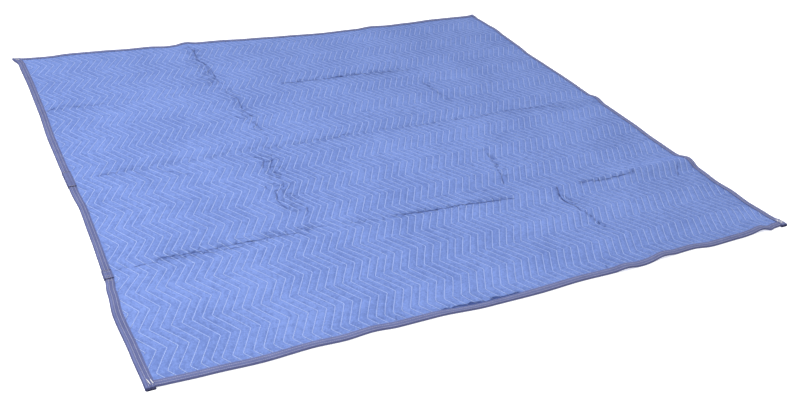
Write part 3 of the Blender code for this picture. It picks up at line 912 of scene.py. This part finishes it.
def spots(sign, along_x, places, distance):
    """Flat x and y of places along an edge at a distance in from it."""
    if along_x:
        return places + 0.0 * distance, sign * (HALF_Y - distance) + 0.0 * places
    return sign * (HALF_X - distance) + 0.0 * places, places + 0.0 * distance


def tape_top(along_x, places, out):
    """Height of the upper leg's outer face at places along an edge and distances out from its inner edge."""
    high = (across_levels(places) if along_x else side_levels(places))[1]
    return high + TAPE + np.interp(-out, [-row[0] for row in UPPER_LEG], [row[1] for row in UPPER_LEG])


def squeezed(leg):
    """Share that is left of the spaces across the tape where little of it lies on top."""
    return np.minimum(1.0, leg / FULL_LEG)


def thicken(piece, even=False):
    """Give a piece the thickness of the tape, inwards from its outer face."""
    thickness = piece.modifiers.new("thickness", "SOLIDIFY")
    thickness.thickness = TAPE * 0.9
    thickness.offset = -1.0
    thickness.use_even_offset = even


def folded_tape(name, sign, along_x, end, legs, shade):
    """A length of tape: its section carried along the edge, then given the thickness of the tape inwards.

    Its upper leg follows the widths in legs, and the side lengths' ends are pressed flat and rounded off.
    """
    count = int(2 * end / TAPE_STEP)
    between = np.linspace(END_STEPS[-1] - end, end - END_STEPS[-1], count)
    places = np.concatenate((END_STEPS[:-1] - end, between, end - END_STEPS[-2::-1]))[:, None]
    to_end = end - abs(places)
    leg = read_rows(legs, places)
    on_fold = [np.broadcast_to(row, (len(places), 3)) for row in np.array(FOLD)]
    level = 0.0 * leg + 1.0
    half_way = (FOLD[-1][0] + leg - UPPER_LEG[0][0] * squeezed(leg)) / 2
    shoulder = np.concatenate((half_way, level, SHOULDER_RISE * level), 1)
    on_leg = [np.concatenate((leg - out * squeezed(leg), level, rise * level), 1) for out, rise in UPPER_LEG]
    distance, share, rise = np.stack([*on_fold, shoulder, *on_leg], 1).transpose(2, 0, 1)
    low, high = across_levels(places) if along_x else side_levels(places)
    flattened = (1.0 - np.clip(to_end / END_RUN, 0.0, 1.0)) ** 2 * (0.0 if along_x else 1.0)
    z = low + share * (high + TAPE - low) * (1.0 - END_FLAT * flattened) + rise
    distance = distance + END_ROUND * flattened ** 3 * (1.0 - distance / TAPE_WIDTH)
    x, y = spots(sign, along_x, places, distance)
    points = lie(x, y, z)
    turned = (sign < 0) != along_x
    faces = grid_faces(*z.shape, turned=turned).tolist()
    on_top = np.arange(z.shape[1]) >= LOWER_POINTS
    # Points under the top take the place midway between the rows, so the painted shade there also darkens
    # the underside and the lower half of the fold
    out = np.where(on_top, (leg - distance) / squeezed(leg), BETWEEN_ROWS)
    values = {"tape_in": distance, "tape_out": out, "tape_along": places, "tape_shade": shade}
    values["tape_end"] = to_end + (END_RUN if along_x else 0.0)
    made = piece_of_mesh(name, points, faces, **{k: np.broadcast_to(v, z.shape) for k, v in values.items()})
    thicken(made, along_x)
    return made


# The last number of each length is painted side light: the same tape is painted darker on the left and
# lighter at the back and right, against how the lamps light each side
bindings = {
    "binding_front": folded_tape("front_binding", -1, True, HALF_X - TUCK, FRONT_LEG, 0.62),
    "binding_back": folded_tape("back_binding", 1, True, HALF_X - TUCK, BACK_LEG, 0.92),
    "binding_left": folded_tape("left_binding", -1, False, HALF_Y + OVERHANG, LEFT_LEG, 0.36),
    "binding_right": folded_tape("right_binding", 1, False, HALF_Y + OVERHANG, RIGHT_LEG, 0.90),
}

twill, wire, shader = new_finish("grey_binding_tape")
tape_in = wire.value("tape_in")
tape_out = wire.value("tape_out")
tape_along = wire.value("tape_along")
tape_shade = wire.value("tape_shade")
tape_end = wire.value("tape_end")
place = wire.node("TexCoord", out="Object")
blotches = wire.noise(place, 25.0, 3.0)
yarns = wire.noise(place, 300.0, 3.0, 0.6)
ribs = (tape_in * (2.0 * np.pi / 0.0017) + (tape_along * (2.0 * np.pi / 0.0022)).sine() * 0.8).sine()
# Painted shade along the rounded fold of the tape
fold_edge_shade = 1.0 - tape_in.step(0.0006, 0.0040)
inner_dark = 1.0 - abs(tape_out - 0.0016).step(0.0008, 0.0024)
# Painted shade midway between the two rows of stitches, and on the underside
between_rows_shade = 1.0 - abs(tape_out - BETWEEN_ROWS).step(0.0008, 0.0032)
# Painted shade in the grooves pulled in beside each row of stitches
stitch_row_shade = [1.0 - abs(abs(tape_out - row_at) - 0.0021).step(0.0004, 0.0015) for row_at in ROWS_AT]
# The per-length tone here is painted side light, set against how each side is lit
tone = tape_shade + (blotches - 0.5) * 0.7 + (yarns - 0.5) * 0.8 + ribs * 0.16
tape_colour = tone.step(0.0, 1.0).blend(TAPE_GREY, TAPE_LIGHT)
# Painted shade at the tape's ends, where they step down onto what lies under them
tape_end_shade = 1.0 - tape_end.step(0.0012, 0.0046)
darkness = fold_edge_shade * 0.7 + inner_dark * 0.25 + between_rows_shade * 0.30 + tape_end_shade * 0.95
tape_colour = darkness.blend(tape_colour, TAPE_DARK)
tape_colour = ((stitch_row_shade[0] + stitch_row_shade[1]) * 0.38).blend(tape_colour, TAPE_DARK)
shader.inputs["Specular IOR Level"].default_value = 0.3
for node, piece in bindings.items():
    piece.data.materials.append(twill)
    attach(piece, "root")
    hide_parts(node)
twill.node_tree.links.new(tape_colour.socket, shader.inputs["Base Color"])
shader.inputs["Roughness"].default_value = 0.8
raised = wire.node("Bump", None, {"Strength": 1.0, "Distance": 0.0005, "Height": ribs * 0.5 + yarns * 0.5})
twill.node_tree.links.new(raised.socket, shader.inputs["Normal"])


# Sewing of the binding
# Two rows of pale stitches along every length, made at once with a double needle.
# They pull the tape down a little, and each stitch is about 5 mm long.
SEAM_STITCH = 0.0052
SEAM_GAP = 0.16
SEAM_WIDE = 0.0011
SEAM_HIGH = 0.0008
SEAM_WANDER = 0.0004
UNDER_SIDES, TO_CORNER = 0.023, 0.002
SEAM_DULL = (0.30, 0.28, 0.33, 1.0)
SEAM_PALE = (0.66, 0.62, 0.64, 1.0)


def stitches(name, starts, ends, width, height, rings, sides):
    """Stitches from starts to ends. Each is a grain: rings of points round its line, closed at both ends.

    A ring at share t of the way has the radius sqrt(sin(pi t)) of the middle one, so the ends are blunt.
    """
    count = len(starts)
    run = ends - starts
    aside = np.cross(run, (0.0, 0.0, 1.0))
    aside /= np.linalg.norm(aside, axis=1, keepdims=True)
    above = np.cross(aside, run)
    above /= np.linalg.norm(above, axis=1, keepdims=True)
    t = np.arange(1, rings + 1) / (rings + 1)
    turn = 2.0 * np.pi * np.arange(sides) / sides
    girth = np.sqrt(np.sin(np.pi * t))[None, :, None, None]
    spread = width / 2 * np.cos(turn)[None, None, :, None] * aside[:, None, None, :]
    rise = height / 2 * np.sin(turn)[None, None, :, None] * above[:, None, None, :]
    along = (starts[:, None] + run[:, None] * t[None, :, None])[:, :, None, :]
    ring_points = (along + girth * (spread + rise)).reshape(count, rings * sides, 3)
    points = np.concatenate((starts[:, None], ring_points, ends[:, None]), 1)
    last = rings * sides + 1
    side = np.arange(sides)
    after = (side + 1) % sides
    first_cap = np.stack((np.zeros(sides, int), 1 + side, 1 + after), 1)
    last_cap = np.stack((np.full(sides, last), last - sides + after, last - sides + side), 1)
    offset = (last + 1) * np.arange(count)[:, None, None]
    faces = (np.concatenate((first_cap, last_cap))[None] + offset).reshape(-1, 3).tolist()
    if rings > 1:
        belt = np.concatenate([
            np.stack((1 + side, 1 + side + sides, 1 + after + sides, 1 + after), 1) + sides * k
            for k in range(rings - 1)
        ])
        faces += (belt[None] + offset).reshape(-1, 4).tolist()
    return piece_of_mesh(name, points, faces)


seam_starts, seam_ends = [], []
SEWN_EDGES = [
    (-1, True, HALF_X - UNDER_SIDES, FRONT_LEG),
    (1, True, HALF_X - UNDER_SIDES, BACK_LEG),
    (-1, False, HALF_Y - TO_CORNER, LEFT_LEG),
    (1, False, HALF_Y - TO_CORNER, RIGHT_LEG),
]
for sign, along_x, end, legs in SEWN_EDGES:
    first = np.linspace(-end, end - SEAM_STITCH, int(2 * end / SEAM_STITCH))
    for row_at in ROWS_AT:
        for places, store in ((first, seam_starts), (first + SEAM_STITCH * (1 - SEAM_GAP), seam_ends)):
            out = row_at + SEAM_WANDER * mottle(places, places * 0.0, 0.03, 7 + sign)
            leg = read_rows(legs, places)
            x, y = spots(sign, along_x, places, leg - out * squeezed(leg))
            store.append(lie(x, y, tape_top(along_x, places, out) + SEAM_HIGH * 0.25))
seam_starts, seam_ends = np.concatenate(seam_starts), np.concatenate(seam_ends)
seam = stitches("binding_stitches", seam_starts, seam_ends, SEAM_WIDE, SEAM_HIGH, 3, 6)

pale_thread, wire, shader = new_finish("pale_seam_thread")
place = wire.node("TexCoord", out="Object")
wisps = wire.noise(place, 900.0, 2.0)
tone = wire.noise(place, 30.0, 2.0)
wear(seam, pale_thread, shader, (tone * 0.6 + wisps * 0.4).blend(SEAM_DULL, SEAM_PALE), 0.6)
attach(seam, "root")


# Lapped tape ends
# Where one reel of tape ran out on the left edge, the next was lapped over it
# and sewn down across both ends.
LAP_PLACES = 14
# The laps' tone is painted side light, as for the lengths of tape
LAP_SIDE_LIGHT = 0.42

# Columns: node, near end, far end
LAPS = [("tape_join_front", -0.505, -0.467), ("tape_join_middle", -0.041, 0.046)]

# Columns: distance in from the edge, share of the height between the legs, rise
LAP_SECTION = [
    (-0.0011, 0.00, 0.0004),
    (-0.0013, 0.50, 0.0000),
    (-0.0010, 0.80, 0.0000),
    (0.0005, 0.97, 0.0000),
    (0.0026, 1.0, 0.0001),
    (0.0070, 1.0, 0.0004),
    (0.0115, 1.0, -0.0001),
    (0.0152, 1.0, 0.0003),
    (0.0190, 1.0, -0.0001),
    (0.0246, 1.0, 0.0001),
]
for node, start, stop in LAPS:
    places = np.linspace(start, stop, LAP_PLACES)[:, None]
    distance, share, rise = np.array(LAP_SECTION).T[:, None, :]
    low, high = side_levels(places)
    z = low + share * (high + TAPE + LAYER - low) + rise
    x, y = spots(-1, False, places, distance)
    lap = piece_of_mesh(
        node.replace("tape_join", "lapped_tape"),
        lie(x, y, z),
        grid_faces(*z.shape, turned=True).tolist(),
        tape_in=abs(distance) + 0.0 * places,
        tape_out=read_rows(LEFT_LEG, places) - distance,
        tape_along=places + 0.0 * distance,
        tape_shade=LAP_SIDE_LIGHT + 0.0 * z,
        tape_end=np.minimum(places - start, stop - places) + 0.0 * distance,
    )
    thicken(lap)
    lap.data.materials.append(twill)
    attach(lap, "root")
    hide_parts(node)


# Cross rows and corner tacks
# Each lapped end is sewn down across the tape, and the front one by more rows beside it.
# Three of the four ends of the side lengths are closed with a few long stitches of thick white thread.
CROSS_ROWS = [-0.512, -0.5020, -0.4935, -0.4780, -0.4700, -0.0380, 0.0430]
CROSS_FROM, CROSS_TO, CROSS_STEP, CROSS_STITCH = 0.0030, 0.0205, 0.0044, 0.0034
CROSS_WIDE, CROSS_HIGH = 0.0019, 0.0012
CROSS_SLANT = 0.0005
TACK_WIDE, TACK_HIGH = 0.0022, 0.0014
THREAD_LIFT = 0.0006
TACK_DULL = (0.62, 0.62, 0.66, 1.0)
TACK_WHITE = (0.90, 0.89, 0.90, 1.0)

# Columns: from x, from y, to x, to y
TACKS = [
    (-1.0045, -0.8880, -1.0000, -0.9110),
    (-0.9975, -0.8910, -0.9930, -0.9095),
    (-1.0110, 0.9120, -0.9990, 0.8930),
    (-1.0050, 0.9140, -0.9955, 0.8960),
    (1.0000, -0.8800, 1.0080, -0.9100),
    (0.9935, -0.8840, 1.0035, -0.9125),
    (1.0085, -0.8840, 0.9900, -0.9000),
    (1.0110, -0.8960, 0.9925, -0.9110),
    (0.9970, -0.8930, 1.0115, -0.9040),
]
inward, at_y = np.meshgrid(np.arange(CROSS_FROM, CROSS_TO, CROSS_STEP), CROSS_ROWS, indexing="ij")
inward, at_y = inward.ravel(), at_y.ravel()
lapped = sum(((at_y > start) & (at_y < stop)).astype(float) for _, start, stop in LAPS)
cross_z = side_levels(at_y)[1] + TAPE + LAYER * lapped + THREAD_LIFT
cross_starts = lie(inward - HALF_X, at_y, cross_z)
cross_ends = lie(inward + CROSS_STITCH - HALF_X, at_y + CROSS_SLANT, cross_z)
cross_rows = stitches("cross_stitches", cross_starts, cross_ends, CROSS_WIDE, CROSS_HIGH, 3, 6)
cross_rows.data.materials.append(pale_thread)

from_x, from_y, to_x, to_y = np.array(TACKS).T
tack_starts = lie(from_x, from_y, side_levels(from_y)[1] + TAPE + THREAD_LIFT)
tack_ends = lie(to_x, to_y, side_levels(to_y)[1] + TAPE + THREAD_LIFT)
tacks = stitches("corner_tacks", tack_starts, tack_ends, TACK_WIDE, TACK_HIGH, 5, 8)
white_thread, wire, shader = new_finish("white_tack_thread")
wisps = wire.noise(wire.node("TexCoord", out="Object"), 900.0, 2.0)
wear(tacks, white_thread, shader, wisps.blend(TACK_DULL, TACK_WHITE), 0.6)
for piece in (cross_rows, tacks):
    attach(piece, "root")
